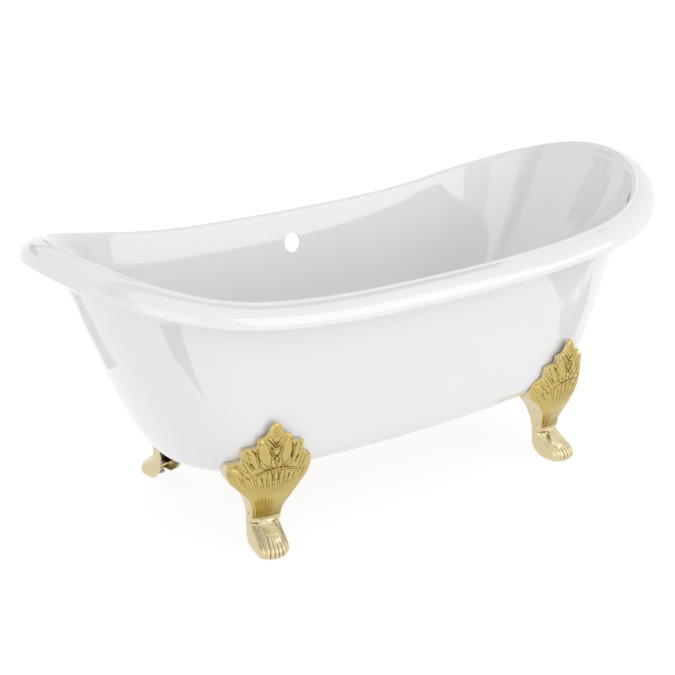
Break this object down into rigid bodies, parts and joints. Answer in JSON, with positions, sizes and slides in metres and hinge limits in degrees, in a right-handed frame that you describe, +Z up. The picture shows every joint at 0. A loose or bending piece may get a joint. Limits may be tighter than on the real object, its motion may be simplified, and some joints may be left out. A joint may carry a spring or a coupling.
{
  "type": "clawfoot bathtub",
  "caption": "Freestanding double-ended slipper bathtub with a rolled rim and raised ends, standing on leaf-and-paw claw feet with hidden levellers.",
  "frame": {"origin": "on the floor, below the centre of the bath", "axes": "+X along the bath, +Y across it towards the side with the overflow hole, +Z up"},
  "size_m": [1.75, 0.7758, 0.748],
  "materials": {
    "bath_white": "glossy white acrylic",
    "board": "resin-sealed chipboard",
    "foot_gold": "polished gold-coloured casting",
    "zinc_steel": "zinc-plated steel",
    "insert_brass": "plain turned brass",
    "pad_nylon": "moulded nylon",
    "sole_rubber": "soft black rubber"
  },
  "bodies": {
    "bath": {"inner_shell": "bath_white", "outer_skin": "bath_white", "base_board": "board", "claw_foot_front_left": "foot_gold", "claw_foot_front_right": "foot_gold", "claw_foot_back_left": "foot_gold", "claw_foot_back_right": "foot_gold", "foot_bolts": "zinc_steel", "foot_washers": "zinc_steel", "board_inserts": "insert_brass", "lock_nuts": "zinc_steel"},
    "pad_front_left": {"levelling_pad_front_left": "pad_nylon", "pad_sole_front_left": "sole_rubber"},
    "screw_front_left": {"levelling_screw_front_left": "zinc_steel"},
    "pad_front_right": {"levelling_pad_front_right": "pad_nylon", "pad_sole_front_right": "sole_rubber"},
    "screw_front_right": {"levelling_screw_front_right": "zinc_steel"},
    "pad_back_left": {"levelling_pad_back_left": "pad_nylon", "pad_sole_back_left": "sole_rubber"},
    "screw_back_left": {"levelling_screw_back_left": "zinc_steel"},
    "pad_back_right": {"levelling_pad_back_right": "pad_nylon", "pad_sole_back_right": "sole_rubber"},
    "screw_back_right": {"levelling_screw_back_right": "zinc_steel"}
  },
  "joints": [
    {"name": "leveller_travel_front_left", "type": "slide", "parent": "bath", "child": "pad_front_left", "axis": [0, 0, -1], "range_m": [0, 0.0121]},
    {"name": "leveller_turn_front_left", "type": "hinge", "parent": "pad_front_left", "child": "screw_front_left", "pos_m": [-0.44856, -0.26686, 0.0143], "axis": [0, 0, -1], "range_deg": [0, 2880]},
    {"name": "leveller_travel_front_right", "type": "slide", "parent": "bath", "child": "pad_front_right", "axis": [0, 0, -1], "range_m": [0, 0.0121]},
    {"name": "leveller_turn_front_right", "type": "hinge", "parent": "pad_front_right", "child": "screw_front_right", "pos_m": [0.44856, -0.26686, 0.0143], "axis": [0, 0, -1], "range_deg": [0, 2880]},
    {"name": "leveller_travel_back_left", "type": "slide", "parent": "bath", "child": "pad_back_left", "axis": [0, 0, -1], "range_m": [0, 0.0121]},
    {"name": "leveller_turn_back_left", "type": "hinge", "parent": "pad_back_left", "child": "screw_back_left", "pos_m": [-0.44856, 0.26686, 0.0143], "axis": [0, 0, -1], "range_deg": [0, 2880]},
    {"name": "leveller_travel_back_right", "type": "slide", "parent": "bath", "child": "pad_back_right", "axis": [0, 0, -1], "range_m": [0, 0.0121]},
    {"name": "leveller_turn_back_right", "type": "hinge", "parent": "pad_back_right", "child": "screw_back_right", "pos_m": [0.44856, 0.26686, 0.0143], "axis": [0, 0, -1], "range_deg": [0, 2880]}
  ],
  "couplings": [
    {"joint": "leveller_travel_front_left", "follows": "leveller_turn_front_left", "m_per_rad": 0.00023873},
    {"joint": "leveller_travel_front_right", "follows": "leveller_turn_front_right", "m_per_rad": 0.00023873},
    {"joint": "leveller_travel_back_left", "follows": "leveller_turn_back_left", "m_per_rad": 0.00023873},
    {"joint": "leveller_travel_back_right", "follows": "leveller_turn_back_right", "m_per_rad": 0.00023873}
  ]
}
